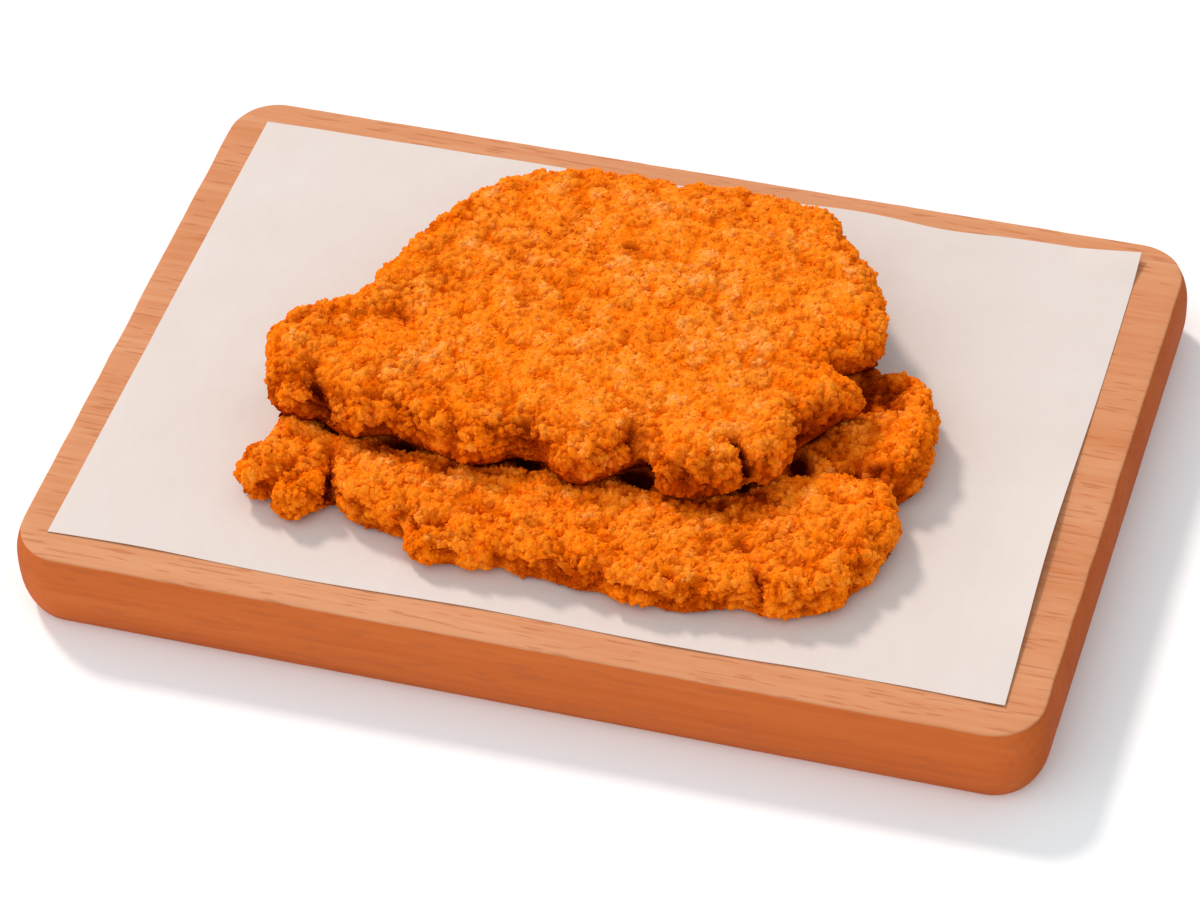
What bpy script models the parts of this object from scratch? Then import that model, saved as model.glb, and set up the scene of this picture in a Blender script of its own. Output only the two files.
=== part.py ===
"""Two breaded schnitzels stacked on greaseproof paper on a beech serving board.

Run with: blender --background --python part.py

Metres, +Z up. The origin is at the middle of the board's underside, +X runs along the board and +Y
towards its back. Dimensions below are in millimetres and are turned into metres when a mesh is made.
"""

import math

import bpy

MM = 0.001
GAP = 0.3  # clearance between pieces that rest on each other

# Board: a slab whose sides swell past its crisp top edge and draw in to the underside.
BOARD_LENGTH = 300.0  # top face, side edge to side edge
BOARD_DEPTH = 206.6
BOARD_THICKNESS = 26.0
BOARD_CORNER_RADIUS = 14.5  # of the top face
BOARD_BELLY_HEIGHT = 17.0  # where the sides stand furthest out
BOARD_BELLY = 1.9  # how far the belly passes the top edge
BOARD_FOOT_INSET = 3.6  # how far the underside's edge is drawn in from the belly
BOARD_FOOT_POWER = 3.2  # roundness of the lower edge
BOARD_EDGE_ROUND = 0.5  # wear on the top edge
BOARD_CORNER_STEPS = 9

# Paper: a cut sheet, flat under the food, with edges that lift a little off the board.
PAPER_CORNERS = ((-141.0, -93.0), (139.4, -91.6), (136.2, 97.0), (-139.5, 93.9))
PAPER_THICKNESS = 0.4
PAPER_COLUMNS = 22
PAPER_ROWS = 14

# Schnitzels: rim outlines seen from above, counter-clockwise, and the levels of their faces.
SLAB_STATIONS = 112  # points round a rim
SLAB_EDGE_ANGLES = (24.0, 48.0, 70.0, 90.0)  # roll of the rim into the faces, in degrees
SLAB_TOP_RINGS = (0.1, 0.22, 0.38, 0.56, 0.77)  # of the way from the rolled edge to the middle
SLAB_FOOT_RINGS = (0.3, 0.66)

LOWER_CENTRE = (6.0, -22.0)
LOWER_THICKNESS = 12.8
LOWER_SHOULDER = 7.0  # inward reach of the roll above the rim
LOWER_FOOT = 4.5  # and below it
LOWER_OUTLINE = (
    (97.5, -1.0), (95.0, 10.0), (88.0, 19.5), (76.0, 22.0), (60.0, 30.0), (38.0, 40.0),
    (12.0, 45.0), (-18.0, 43.0), (-45.0, 33.0), (-68.0, 14.0), (-82.0, -10.0), (-88.0, -31.0),
    (-89.0, -46.0), (-93.5, -57.0), (-91.5, -65.0), (-84.0, -68.5), (-77.0, -73.0), (-71.5, -73.5),
    (-61.0, -68.5), (-54.5, -71.0), (-46.0, -71.5), (-41.0, -73.0), (-38.5, -79.0), (-28.0, -80.0),
    (-10.0, -78.5), (12.0, -80.0), (32.0, -81.5), (46.0, -82.0), (57.0, -79.0), (65.0, -77.0),
    (76.0, -76.0), (86.0, -70.0), (92.5, -57.5), (96.0, -43.0), (92.5, -31.0), (97.5, -20.0),
)

UPPER_CENTRE = (-4.0, 8.0)
UPPER_THICKNESS = 12.0
UPPER_SHOULDER = 7.5
UPPER_FOOT = 5.0
UPPER_OUTLINE = (
    (76.0, 23.0), (72.5, 36.5), (64.0, 50.5), (55.0, 62.5), (45.0, 72.5), (25.0, 75.5),
    (4.0, 75.0), (-16.0, 74.0), (-35.0, 71.0), (-49.5, 62.5), (-61.5, 46.0), (-69.5, 27.0),
    (-74.5, 11.0), (-80.0, -1.5), (-88.0, -5.0), (-94.5, -13.0), (-96.0, -24.0), (-91.0, -34.5),
    (-82.0, -39.0), (-75.0, -44.0), (-66.0, -48.5), (-52.0, -49.0), (-40.0, -50.0), (-29.0, -53.0),
    (-14.0, -50.5), (-4.0, -47.5), (5.0, -52.5), (15.0, -49.5), (23.0, -42.5), (32.0, -46.5),
    (44.0, -46.5), (51.5, -40.0), (59.0, -37.0), (67.0, -27.0), (73.5, -15.0), (77.5, -5.0),
    (74.0, 4.0), (75.5, 13.0),
)

# Relief of the top faces. A swell is (x, y, reach along X, reach along Y, height), negative for a
# hollow. A crease is (x, y, x, y, width, depth) from one end to the other.
LOWER_SWELLS = (
    (98.0, 0.0, 11.0, 22.0, 4.5),  # the right end curls up
    (76.0, 6.0, 9.0, 9.0, -2.0),
    (86.0, -44.0, 26.0, 12.0, 2.2),
    (-84.0, -62.0, 9.0, 9.0, 1.5),  # the small lobe at the left
    (-50.0, -62.0, 10.0, 11.0, 1.8),
    (-8.0, -66.0, 34.0, 7.0, 1.4),
    (58.0, -62.0, 11.0, 7.0, -1.8),
    (40.0, -52.0, 16.0, 7.0, -1.2),
)
LOWER_CREASES = (
    (-66.0, -46.0, -61.0, -76.0, 4.0, 4.6),
    (-41.0, -76.0, -22.0, -68.5, 3.4, 3.0),
    (-22.0, -68.5, -2.0, -61.0, 3.6, 1.6),
    (58.0, -33.0, 78.0, -28.5, 4.0, 3.0),
    (78.0, -28.5, 95.0, -32.0, 4.0, 4.0),
    (66.0, -80.0, 63.0, -70.0, 2.4, 3.0),
)
UPPER_SWELLS = (
    (10.0, 14.0, 62.0, 42.0, 1.6),
    (-62.0, -6.0, 11.0, 9.0, -2.2),
    (-64.0, 16.0, 11.0, 12.0, 1.2),
    (-84.0, -22.0, 10.0, 10.0, 1.4),
    (4.0, -42.0, 10.0, 8.0, 1.6),  # knobs along the front edge
    (37.0, -37.0, 11.0, 9.0, 1.6),
    (57.0, -27.0, 8.0, 9.0, 1.8),
    (-30.0, -44.0, 14.0, 8.0, 1.0),
    (40.0, 10.0, 14.0, 10.0, -0.9),
)
UPPER_CREASES = (
    (-84.0, -32.0, -74.0, -49.0, 3.0, 3.2),
    (-50.0, -40.0, -46.0, -54.0, 3.0, 2.4),
    (24.0, -47.0, 19.0, -33.0, 3.0, 4.2),
    (53.0, -44.0, 46.0, -30.0, 2.6, 4.2),
    (69.0, -28.0, 61.0, -16.0, 2.6, 2.6),
    (77.0, 2.0, 66.0, -4.0, 2.8, 4.0),
    (-8.0, -50.0, -10.0, -40.0, 3.4, 2.2),
)
UPPER_DROOP = 2.5  # how far the back, past the lower schnitzel, sinks
UPPER_DROOP_START = 47.0
UPPER_DROOP_END = 78.0

PAPER_UNDERSIDE = BOARD_THICKNESS + GAP
PAPER_TOP = PAPER_UNDERSIDE + PAPER_THICKNESS
LOWER_UNDERSIDE = PAPER_TOP + GAP
LOWER_TOP = LOWER_UNDERSIDE + LOWER_THICKNESS
UPPER_UNDERSIDE = LOWER_TOP + GAP + 0.4
UPPER_TOP = UPPER_UNDERSIDE + UPPER_THICKNESS

BEECH = (0.69, 0.31, 0.14)
GREASEPROOF = (0.83, 0.71, 0.64)
CRUMB_GOLD = (0.84, 0.25, 0.02)
CRUMB_BROWN = (0.74, 0.18, 0.015)


def clear_scene():
    for item in list(bpy.context.scene.objects):
        bpy.data.objects.remove(item, do_unlink=True)


def plain_material(name, colour, roughness):
    material = bpy.data.materials.new(name)
    material.use_nodes = True
    shader = material.node_tree.nodes["Principled BSDF"]
    shader.inputs["Base Color"].default_value = (*colour, 1.0)
    shader.inputs["Roughness"].default_value = roughness
    shader.inputs["Metallic"].default_value = 0.0
    return material


def make_object(name, points, faces, material, smooth_angle):
    """Points are in millimetres. Edges sharper than smooth_angle degrees stay crisp."""
    mesh = bpy.data.meshes.new(name)
    mesh.from_pydata([(x * MM, y * MM, z * MM) for x, y, z in points], [], faces)
    mesh.validate()
    mesh.shade_smooth()
    mesh.set_sharp_from_angle(angle=math.radians(smooth_angle))
    mesh.materials.append(material)
    item = bpy.data.objects.new(name, mesh)
    bpy.context.scene.collection.objects.link(item)
    return item


def band(first, second, count):
    """Quads between two closed rings of count points, the second inside or above the first."""
    return [
        (first + i, first + (i + 1) % count, second + (i + 1) % count, second + i)
        for i in range(count)
    ]


def rounded_rectangle(length, depth, radius, steps):
    """Points of a rounded rectangle about the origin, counter-clockwise."""
    points = []
    for turn, (side_x, side_y) in enumerate(((1, 1), (-1, 1), (-1, -1), (1, -1))):
        for step in range(steps + 1):
            angle = math.radians(90.0 * (turn + step / steps))
            points.append((
                side_x * (length / 2 - radius) + radius * math.cos(angle),
                side_y * (depth / 2 - radius) + radius * math.sin(angle),
            ))
    return points


def board_side_levels():
    """Heights up the board's side, with how far each lies outside the top edge."""
    levels = []
    for share in (0.0, 0.035, 0.12, 0.3, 0.6, 1.0):
        below = 1.0 - share
        levels.append((
            share * BOARD_BELLY_HEIGHT,
            BOARD_BELLY - BOARD_FOOT_INSET * below ** BOARD_FOOT_POWER,
        ))
    rise = BOARD_THICKNESS - BOARD_EDGE_ROUND - BOARD_BELLY_HEIGHT
    for share in (0.35, 0.7, 1.0):
        levels.append((BOARD_BELLY_HEIGHT + share * rise, BOARD_BELLY * (1.0 - share ** 2)))
    levels.append((BOARD_THICKNESS, -BOARD_EDGE_ROUND))
    return levels


def make_board():
    points = []
    faces = []
    count = 4 * (BOARD_CORNER_STEPS + 1)
    levels = board_side_levels()
    for height, outset in levels:
        ring = rounded_rectangle(
            BOARD_LENGTH + 2 * outset,
            BOARD_DEPTH + 2 * outset,
            BOARD_CORNER_RADIUS + outset,
            BOARD_CORNER_STEPS,
        )
        points.extend((x, y, height) for x, y in ring)
    for level in range(len(levels) - 1):
        faces.extend(band(level * count, (level + 1) * count, count))
    faces.append(tuple(range(count - 1, -1, -1)))
    last = (len(levels) - 1) * count
    faces.append(tuple(range(last, last + count)))
    return make_object("board", points, faces, plain_material("beech", BEECH, 0.5), 40.0)


def bump(value, centre, reach):
    return math.exp(-(((value - centre) / reach) ** 2))


def paper_point(across, along_depth):
    """Plan position of a point of the sheet, from 0 to 1 along each side, with its uneven edges."""
    front_left, front_right, back_right, back_left = PAPER_CORNERS
    weights = (
        (1 - across) * (1 - along_depth),
        across * (1 - along_depth),
        across * along_depth,
        (1 - across) * along_depth,
    )
    corners = (front_left, front_right, back_right, back_left)
    x = sum(weight * corner[0] for weight, corner in zip(weights, corners))
    y = sum(weight * corner[1] for weight, corner in zip(weights, corners))
    x += -1.2 * across * bump(along_depth, 0.35, 0.28)
    y += along_depth * (1.0 * bump(across, 0.68, 0.06) - 2.2 * bump(across, 0.79, 0.06))
    y += 0.5 * (1 - along_depth) * math.sin(2.6 * math.tau * across)
    return x, y


def paper_lift(across, along_depth):
    """How far the sheet stands off the board."""
    near_right = max(0.0, (across - 0.93) / 0.07)
    near_front = max(0.0, (0.055 - along_depth) / 0.055)
    near_back = max(0.0, (along_depth - 0.93) / 0.07)
    right = 2.0 * near_right ** 1.6 * bump(along_depth, 0.3, 0.22)
    front = 0.8 * near_front * (0.6 + 0.4 * math.sin(3.2 * math.tau * across))
    corner = 2.2 * near_right * near_back + 1.0 * near_back * bump(across, 0.79, 0.07)
    return right + front + corner


def make_paper():
    points = []
    faces = []
    columns = PAPER_COLUMNS + 1
    for height in (PAPER_UNDERSIDE, PAPER_TOP):
        for row in range(PAPER_ROWS + 1):
            for column in range(columns):
                across = edge_weighted(column / PAPER_COLUMNS)
                along_depth = edge_weighted(row / PAPER_ROWS)
                x, y = paper_point(across, along_depth)
                points.append((x, y, height + paper_lift(across, along_depth)))
    sheet = columns * (PAPER_ROWS + 1)
    for row in range(PAPER_ROWS):
        for column in range(PAPER_COLUMNS):
            corner = row * columns + column
            quad = (corner, corner + 1, corner + 1 + columns, corner + columns)
            faces.append(tuple(reversed(quad)))
            faces.append(tuple(index + sheet for index in quad))
    border = list(range(PAPER_COLUMNS))
    border += [row * columns + PAPER_COLUMNS for row in range(PAPER_ROWS)]
    border += [PAPER_ROWS * columns + column for column in range(PAPER_COLUMNS, 0, -1)]
    border += [row * columns for row in range(PAPER_ROWS, 0, -1)]
    for here, after in zip(border, border[1:] + border[:1]):
        faces.append((here, after, after + sheet, here + sheet))
    material = plain_material("greaseproof_paper", GREASEPROOF, 0.6)
    return make_object("paper", points, faces, material, 50.0)


def edge_weighted(share):
    """Spreads 0 to 1 so that grid lines crowd towards both ends, where the sheet bends."""
    return share - 0.11 * math.sin(math.tau * share)


def closed_curve(landmarks, count):
    """Evenly spaced points on the smooth closed curve through the landmarks."""
    steps = 16
    total = len(landmarks)
    dense = []
    for index in range(total):
        before, start, end, after = (landmarks[(index + shift) % total] for shift in (-1, 0, 1, 2))
        for step in range(steps):
            t = step / steps
            dense.append(tuple(
                0.5 * (
                    2 * b + (c - a) * t + (2 * a - 5 * b + 4 * c - d) * t ** 2
                    + (3 * b - a - 3 * c + d) * t ** 3
                )
                for a, b, c, d in zip(before, start, end, after)
            ))
    lengths = [0.0]
    for here, after in zip(dense, dense[1:] + dense[:1]):
        lengths.append(lengths[-1] + math.dist(here, after))
    points = []
    segment = 0
    for number in range(count):
        wanted = lengths[-1] * number / count
        while lengths[segment + 1] < wanted:
            segment += 1
        t = (wanted - lengths[segment]) / (lengths[segment + 1] - lengths[segment])
        start, end = dense[segment], dense[(segment + 1) % len(dense)]
        points.append(tuple(a + (b - a) * t for a, b in zip(start, end)))
    return points


def relaxed(ring, reach):
    """The ring with each point moved to the mean of its neighbours on both sides."""
    total = len(ring)
    return [
        tuple(
            sum(ring[(index + shift) % total][axis] for shift in range(-reach, reach + 1))
            / (2 * reach + 1)
            for axis in (0, 1)
        )
        for index in range(total)
    ]


def inward(ring, centre, distance):
    """The ring with each point moved towards the centre."""
    moved = []
    for point in ring:
        share = distance / math.dist(point, centre)
        moved.append(tuple(p + (c - p) * share for p, c in zip(point, centre)))
    return moved


def swell_height(x, y, swells):
    return sum(
        height * math.exp(-(((x - cx) / reach_x) ** 2) - ((y - cy) / reach_y) ** 2)
        for cx, cy, reach_x, reach_y, height in swells
    )


def crease_depth(x, y, creases):
    total = 0.0
    for x0, y0, x1, y1, width, depth in creases:
        length_squared = (x1 - x0) ** 2 + (y1 - y0) ** 2
        share = ((x - x0) * (x1 - x0) + (y - y0) * (y1 - y0)) / length_squared
        share = min(1.0, max(0.0, share))
        distance = math.dist((x, y), (x0 + (x1 - x0) * share, y0 + (y1 - y0) * share))
        total += depth * math.exp(-((distance / width) ** 2))
    return total


def lower_top(x, y):
    return LOWER_TOP + swell_height(x, y, LOWER_SWELLS) - crease_depth(x, y, LOWER_CREASES)


def lower_underside(x, y):
    """Flat on the paper, lifted where the right end and the left lobe curl up."""
    right = max(0.0, (x - 80.0) / 18.0) ** 2 * bump(y, 0.0, 22.0)
    left = max(0.0, (-76.0 - x) / 16.0) ** 2
    return LOWER_UNDERSIDE + 3.5 * right + 1.5 * left


def upper_droop(y):
    share = (y - UPPER_DROOP_START) / (UPPER_DROOP_END - UPPER_DROOP_START)
    share = min(1.0, max(0.0, share))
    return UPPER_DROOP * share * share * (3 - 2 * share)


def upper_top(x, y):
    relief = swell_height(x, y, UPPER_SWELLS) - crease_depth(x, y, UPPER_CREASES)
    return UPPER_TOP + relief - upper_droop(y)


def upper_underside(x, y):
    return UPPER_UNDERSIDE - upper_droop(y)


def make_slab(name, outline, centre, top, underside, shoulder, foot, material):
    """A slab with a rolled rim: rings run from the rim in over the top face, then under the foot."""
    rim = closed_curve(outline, SLAB_STATIONS)
    points = [(x, y, (top(x, y) + underside(x, y)) / 2) for x, y in rim]
    faces = []
    sides = (
        (top, shoulder, SLAB_TOP_RINGS, False),
        (underside, foot, SLAB_FOOT_RINGS, True),
    )
    for face, reach, shares, facing_down in sides:
        rings = []
        for degrees in SLAB_EDGE_ANGLES:
            angle = math.radians(degrees)
            ring = inward(rim, centre, reach * (1 - math.cos(angle)))
            rise = math.sin(angle)
            rings.append([
                (x, y, middle[2] + (face(x, y) - middle[2]) * rise)
                for (x, y), middle in zip(ring, points)
            ])
        edge = inward(rim, centre, reach)
        soft_edge = relaxed(edge, 4)
        for share in shares:
            blend = min(1.0, 2.5 * share)
            ring = []
            for sharp, soft in zip(edge, soft_edge):
                start = [a + (b - a) * blend for a, b in zip(sharp, soft)]
                x, y = (s + (c - s) * share for s, c in zip(start, centre))
                ring.append((x, y, face(x, y)))
            rings.append(ring)
        previous = 0
        side_faces = []
        for ring in rings:
            first = len(points)
            points.extend(ring)
            side_faces.extend(band(previous, first, SLAB_STATIONS))
            previous = first
        hub = len(points)
        points.append((*centre, face(*centre)))
        side_faces.extend(
            (previous + i, previous + (i + 1) % SLAB_STATIONS, hub) for i in range(SLAB_STATIONS)
        )
        if facing_down:
            side_faces = [tuple(reversed(quad)) for quad in side_faces]
        faces.extend(side_faces)
    return make_object(name, points, faces, material, 180.0)


def main():
    clear_scene()
    make_board()
    make_paper()
    make_slab(
        "schnitzel_lower", LOWER_OUTLINE, LOWER_CENTRE, lower_top, lower_underside,
        LOWER_SHOULDER, LOWER_FOOT, plain_material("crumb_lower", CRUMB_BROWN, 0.7),
    )
    make_slab(
        "schnitzel_upper", UPPER_OUTLINE, UPPER_CENTRE, upper_top, upper_underside,
        UPPER_SHOULDER, UPPER_FOOT, plain_material("crumb_upper", CRUMB_GOLD, 0.7),
    )


main()
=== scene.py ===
"""Looks of two breaded schnitzels stacked on greaseproof paper on a beech board.

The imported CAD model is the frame. Every piece below is built in metres in that frame.
"""

import math

import bmesh
import bpy
import numpy as np
from mathutils import Matrix, Vector, noise


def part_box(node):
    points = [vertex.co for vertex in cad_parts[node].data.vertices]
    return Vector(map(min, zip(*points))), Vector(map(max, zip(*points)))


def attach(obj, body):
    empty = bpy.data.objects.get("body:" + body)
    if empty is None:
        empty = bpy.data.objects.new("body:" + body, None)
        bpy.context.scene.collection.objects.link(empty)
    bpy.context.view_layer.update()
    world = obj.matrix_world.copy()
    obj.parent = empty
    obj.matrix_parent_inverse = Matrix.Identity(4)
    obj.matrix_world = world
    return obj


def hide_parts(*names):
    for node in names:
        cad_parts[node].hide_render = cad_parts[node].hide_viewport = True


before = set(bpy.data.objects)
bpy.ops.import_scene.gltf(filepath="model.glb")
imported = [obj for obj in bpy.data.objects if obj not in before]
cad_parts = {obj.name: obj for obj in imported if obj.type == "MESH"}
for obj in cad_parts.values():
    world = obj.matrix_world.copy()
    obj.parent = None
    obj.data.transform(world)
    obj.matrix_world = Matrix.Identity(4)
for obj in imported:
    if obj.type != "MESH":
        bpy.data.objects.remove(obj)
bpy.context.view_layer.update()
MM = 0.001

BOARD_LOW, BOARD_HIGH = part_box("board")
BOARD_TOP = BOARD_HIGH.z
PAPER_LOW, PAPER_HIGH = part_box("paper")

# Board sides, as in the CAD: a belly outside the crisp top edge, drawn in to the underside.
BOARD_BELLY = 1.9 * MM
BOARD_BELLY_HEIGHT = 17.0 * MM
BOARD_FOOT_INSET = 3.6 * MM
BOARD_FOOT_POWER = 3.2
BOARD_CORNER_RADIUS = 14.5 * MM
BOARD_EDGE_ROUND = 0.5 * MM


# ---------------------------------------------------------------- node and mesh helpers


def add(tree, kind, inputs=None, **settings):
    """Adds a node. An input that is a socket is linked, and any other is set as its value."""
    node = tree.nodes.new(kind)
    for name, value in settings.items():
        setattr(node, name, value)
    for key, value in (inputs or {}).items():
        socket = node.inputs[key]
        if isinstance(value, bpy.types.NodeSocket):
            tree.links.new(value, socket)
        else:
            socket.default_value = value
    return node


def math_node(tree, operation, first, second=0.0, clamp=False):
    node = add(tree, "ShaderNodeMath", {0: first, 1: second}, operation=operation)
    node.use_clamp = clamp
    return node.outputs[0]


def mix_colour(tree, factor, first, second, blend="MIX"):
    node = add(tree, "ShaderNodeMix", data_type="RGBA", blend_type=blend)
    for index, value in ((0, factor), (6, first), (7, second)):
        if isinstance(value, bpy.types.NodeSocket):
            tree.links.new(value, node.inputs[index])
        elif index == 0:
            node.inputs[index].default_value = value
        else:
            node.inputs[index].default_value = (*value, 1.0)
    return node.outputs[2]


def ramp(tree, value, low, high):
    """0 below low, 1 above high, straight between."""
    node = add(tree, "ShaderNodeMapRange", {0: value, 1: low, 2: high, 3: 0.0, 4: 1.0})
    node.clamp = True
    return node.outputs[0]


def stretched(tree, scale):
    """Object coordinates multiplied by a vector."""
    where = add(tree, "ShaderNodeTexCoord")
    mapping = add(tree, "ShaderNodeMapping", {"Vector": where.outputs["Object"], "Scale": scale})
    return mapping.outputs["Vector"]


def noise_texture(tree, vector, scale, detail=2.0, roughness=0.5, distortion=0.0):
    node = add(tree, "ShaderNodeTexNoise", {
        "Vector": vector, "Scale": scale, "Detail": detail, "Roughness": roughness,
        "Distortion": distortion,
    })
    return node.outputs["Fac"]


def new_material(name, roughness, specular):
    material = bpy.data.materials.new(name)
    material.use_nodes = True
    tree = material.node_tree
    shader = tree.nodes["Principled BSDF"]
    shader.inputs["Roughness"].default_value = roughness
    shader.inputs["Specular IOR Level"].default_value = specular
    return material, tree, shader


def connect_bump(tree, shader, height, distance, strength=1.0):
    bump = add(tree, "ShaderNodeBump", {"Height": height, "Distance": distance, "Strength": strength})
    tree.links.new(bump.outputs["Normal"], shader.inputs["Normal"])


def mesh_object(name, points, faces, material):
    """points is an (n, 3) array in metres, faces an (m, k) array or a list of tuples."""
    mesh = bpy.data.meshes.new(name)
    mesh.from_pydata(np.asarray(points).tolist(), [], [tuple(int(i) for i in f) for f in faces])
    mesh.shade_smooth()
    mesh.materials.append(material)
    item = bpy.data.objects.new(name, mesh)
    bpy.context.scene.collection.objects.link(item)
    return item


def vertex_array(mesh, field="co"):
    values = np.empty(len(mesh.vertices) * 3, np.float32)
    mesh.vertices.foreach_get(field, values)
    return values.reshape(-1, 3).astype(float)


def set_vertices(mesh, points):
    mesh.vertices.foreach_set("co", points.astype(np.float32).ravel())
    mesh.update()


def store_colours(mesh, name, values):
    """values is an (n, 3) array, one row a vertex."""
    layer = mesh.color_attributes.new(name, "FLOAT_COLOR", "POINT")
    rgba = np.ones((len(values), 4), np.float32)
    rgba[:, :3] = values
    layer.data.foreach_set("color", rgba.ravel())


def smoothstep(value, low, high):
    share = np.clip((value - low) / (high - low), 0.0, 1.0)
    return share * share * (3.0 - 2.0 * share)


# ---------------------------------------------------------------- materials

TOP_PALE = (0.64, 0.296, 0.150)
TOP_DEEP = (0.56, 0.206, 0.084)
# The sides' deeper, more saturated colours are oiled side grain and partly painted shade.
SIDE_PALE = (0.565, 0.137, 0.033)
SIDE_DEEP = (0.485, 0.100, 0.0215)
# The board's end faces are deeper: end grain, and partly painted shade.
END_GRAIN_AND_SHADE = (0.80, 0.72, 0.55)  # how much deeper the ends of the board are
FLECK = (0.42, 0.105, 0.035)


def beech_material():
    material, tree, shader = new_material("beech_oiled", 0.65, 0.05)
    grain = stretched(tree, (0.06, 1.0, 1.0))
    broad = noise_texture(tree, grain, 55.0, 3.0, 0.55, 0.4)
    streak = noise_texture(tree, stretched(tree, (0.035, 1.0, 1.0)), 420.0, 2.0, 0.6)
    fleck_noise = noise_texture(tree, stretched(tree, (0.09, 1.0, 0.55)), 900.0, 1.0, 0.5)
    fleck = ramp(tree, fleck_noise, 0.60, 0.68)
    place = add(tree, "ShaderNodeSeparateXYZ", {0: stretched(tree, (1.0, 1.0, 1.0))})
    side = ramp(tree, place.outputs["Z"], BOARD_TOP - 0.2 * MM, BOARD_TOP - 0.7 * MM)
    tone = math_node(tree, "ADD", math_node(tree, "MULTIPLY", broad, 0.9), math_node(tree, "MULTIPLY", streak, 0.7))
    tone = ramp(tree, tone, 0.55, 1.05)
    top = mix_colour(tree, tone, TOP_PALE, TOP_DEEP)
    sides = mix_colour(tree, tone, SIDE_PALE, SIDE_DEEP)
    facing = add(tree, "ShaderNodeSeparateXYZ", {0: add(tree, "ShaderNodeTexCoord").outputs["Normal"]})
    across = math_node(tree, "ABSOLUTE", facing.outputs["X"])
    ends = mix_colour(tree, 1.0, sides, END_GRAIN_AND_SHADE, "MULTIPLY")
    sides = mix_colour(tree, ramp(tree, across, 0.55, 0.98), sides, ends)
    wood = mix_colour(tree, side, top, sides)
    flecked = math_node(tree, "MULTIPLY", fleck, 0.42)
    wood = mix_colour(tree, flecked, wood, FLECK)
    tree.links.new(wood, shader.inputs["Base Color"])
    relief = math_node(tree, "SUBTRACT", streak, math_node(tree, "MULTIPLY", fleck, 0.6))
    connect_bump(tree, shader, relief, 0.12 * MM)
    return material


PAPER_PALE = (0.680, 0.605, 0.563)
PAPER_DEEP = (0.660, 0.573, 0.525)


def paper_material():
    material, tree, shader = new_material("greaseproof_paper", 0.6, 0.12)
    here = stretched(tree, (1.0, 1.0, 1.0))
    cloud = noise_texture(tree, here, 38.0, 4.0, 0.6)
    fibre = noise_texture(tree, here, 900.0, 2.0, 0.7)
    tone = math_node(tree, "ADD", math_node(tree, "MULTIPLY", cloud, 0.8), math_node(tree, "MULTIPLY", fibre, 0.25))
    tone = ramp(tree, tone, 0.36, 0.72)
    tree.links.new(mix_colour(tree, tone, PAPER_PALE, PAPER_DEEP), shader.inputs["Base Color"])
    ripple = noise_texture(tree, here, 120.0, 3.0, 0.5)
    relief = math_node(tree, "ADD", ripple, math_node(tree, "MULTIPLY", fibre, 0.15))
    connect_bump(tree, shader, relief, 0.25 * MM)
    return material


CRUMB_PALE = (1.0, 0.362, 0.034)
CRUMB_GOLD = (0.98, 0.214, 0.004)
CRUMB_BROWN = (0.50, 0.068, 0.0015)
# The colour below is a painted pinkish highlight on the palest crumb tops, and the colour of a few random pale
# specks.
CRUMB_CREAM = (1.0, 0.43, 0.14)
# Painted shade turns the crust deeper and redder, by the powers below.
CRUMB_SHADE = (1.0, 1.6, 2.0)  # green and blue go before red where the crust darkens


def crumb_colours(pale, cream_highlight, brown, painted_shade):
    """Linear colours from how pale and how brown each spot is and how much painted highlight and painted shade it
    has, all 0 to 1; the pale and brown amounts carry some painted highlight and painted shade too.
    """
    colour = np.tile(CRUMB_GOLD, (len(pale), 1))
    for amount, towards in ((pale, CRUMB_PALE), (cream_highlight, CRUMB_CREAM), (brown, CRUMB_BROWN)):
        colour = colour + np.clip(amount, 0.0, 1.0)[:, None] * (np.array(towards) - colour)
    left = 1.0 - 0.95 * np.clip(painted_shade, 0.0, 1.0)
    return colour * left[:, None] ** np.array(CRUMB_SHADE)


def crumb_material(name, roughness):
    """Colour from the attribute "crumb", varied a little by fine noise."""
    material, tree, shader = new_material(name, roughness, 0.0)
    crumb = add(tree, "ShaderNodeAttribute", attribute_name="crumb").outputs["Color"]
    here = stretched(tree, (1.0, 1.0, 1.0))
    fine = noise_texture(tree, here, 1300.0, 2.0, 0.6)
    deeper = mix_colour(tree, 1.0, crumb, (0.86, 0.70, 0.5), "MULTIPLY")
    colour = mix_colour(tree, ramp(tree, fine, 0.62, 0.40), crumb, deeper)
    tree.links.new(colour, shader.inputs["Base Color"])
    connect_bump(tree, shader, fine, 0.22 * MM)
    return material


# ---------------------------------------------------------------- board


def rounded_rectangle(length, depth, radius, steps):
    points = []
    for turn, (side_x, side_y) in enumerate(((1, 1), (-1, 1), (-1, -1), (1, -1))):
        for step in range(steps + 1):
            angle = math.radians(90.0 * (turn + step / steps))
            points.append((
                side_x * (length / 2 - radius) + radius * math.cos(angle),
                side_y * (depth / 2 - radius) + radius * math.sin(angle),
            ))
    return points


def with_long_sides(ring, longest):
    """The ring with its straight runs split into steps no longer than longest."""
    points = []
    for start, end in zip(ring, ring[1:] + ring[:1]):
        count = max(1, math.ceil(math.dist(start, end) / longest))
        points.extend(
            tuple(a + (b - a) * step / count for a, b in zip(start, end)) for step in range(count)
        )
    return points


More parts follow.
